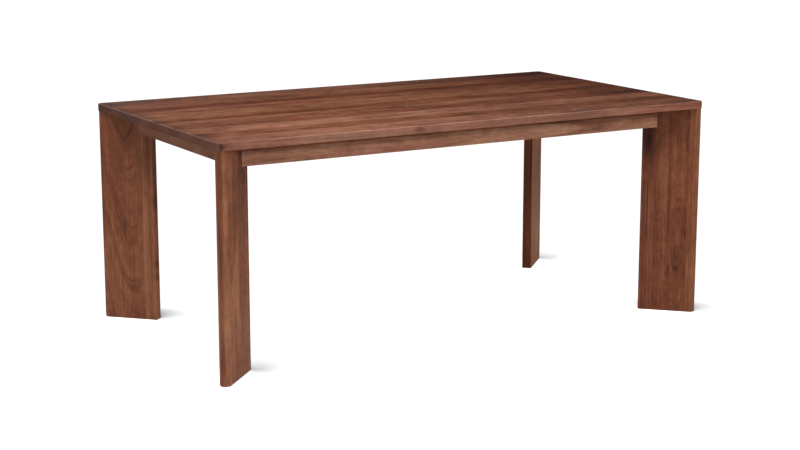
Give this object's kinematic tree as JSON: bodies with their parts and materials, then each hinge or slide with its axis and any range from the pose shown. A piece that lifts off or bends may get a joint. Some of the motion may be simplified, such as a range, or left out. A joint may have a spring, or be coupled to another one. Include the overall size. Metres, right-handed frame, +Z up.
{
  "type": "dining table",
  "caption": "Rectangular walnut dining table: glued board top flush on diagonal plank legs, with set-back aprons mitred to the legs.",
  "frame": {"origin": "on the floor, under the middle of the top", "axes": "+X along the table's length, +Y from the front long edge to the rear one, +Z up through the top"},
  "size_m": [1.83, 1, 0.75],
  "materials": {
    "walnut_top": "oiled satin walnut, boards of mixed tone",
    "walnut_leg": "oiled satin walnut, upright grain",
    "walnut_apron": "oiled satin walnut",
    "beech_block": "plain planed hardwood",
    "beech_rail": "plain planed hardwood",
    "beech_button": "plain sawn hardwood",
    "nylon_glide": "matt brown nylon",
    "zinc_plated_steel": "zinc plated",
    "screw_steel": "yellow passivated zinc"
  },
  "bodies": {
    "root": {"top_board_01": "walnut_top", "top_board_02": "walnut_top", "top_board_03": "walnut_top", "top_board_04": "walnut_top", "top_board_05": "walnut_top", "top_board_06": "walnut_top", "top_board_07": "walnut_top", "top_board_08": "walnut_top", "top_board_09": "walnut_top", "top_board_10": "walnut_top", "top_board_11": "walnut_top", "front_left_leg_nose_stave": "walnut_leg", "front_left_leg_middle_stave": "walnut_leg", "front_left_leg_inner_stave": "walnut_leg", "front_right_leg_nose_stave": "walnut_leg", "front_right_leg_middle_stave": "walnut_leg", "front_right_leg_inner_stave": "walnut_leg", "rear_right_leg_nose_stave": "walnut_leg", "rear_right_leg_inner_stave": "walnut_leg", "rear_left_leg_nose_stave": "walnut_leg", "rear_left_leg_inner_stave": "walnut_leg", "front_apron": "walnut_apron", "right_apron": "walnut_apron", "rear_apron": "walnut_apron", "left_apron": "walnut_apron", "front_left_corner_block": "beech_block", "front_right_corner_block": "beech_block", "rear_right_corner_block": "beech_block", "rear_left_corner_block": "beech_block", "cross_rail_left": "beech_rail", "cross_rail_right": "beech_rail", "front_apron_buttons": "beech_button", "right_apron_buttons": "beech_button", "rear_apron_buttons": "beech_button", "left_apron_buttons": "beech_button", "front_left_leg_glides": "nylon_glide", "front_right_leg_glides": "nylon_glide", "rear_right_leg_glides": "nylon_glide", "rear_left_leg_glides": "nylon_glide", "hanger_bolts": "zinc_plated_steel", "bolt_washers": "zinc_plated_steel", "bolt_nuts": "zinc_plated_steel", "corner_block_screws": "screw_steel", "button_screws": "screw_steel", "cross_rail_screws": "screw_steel"}
  },
  "joints": []
}
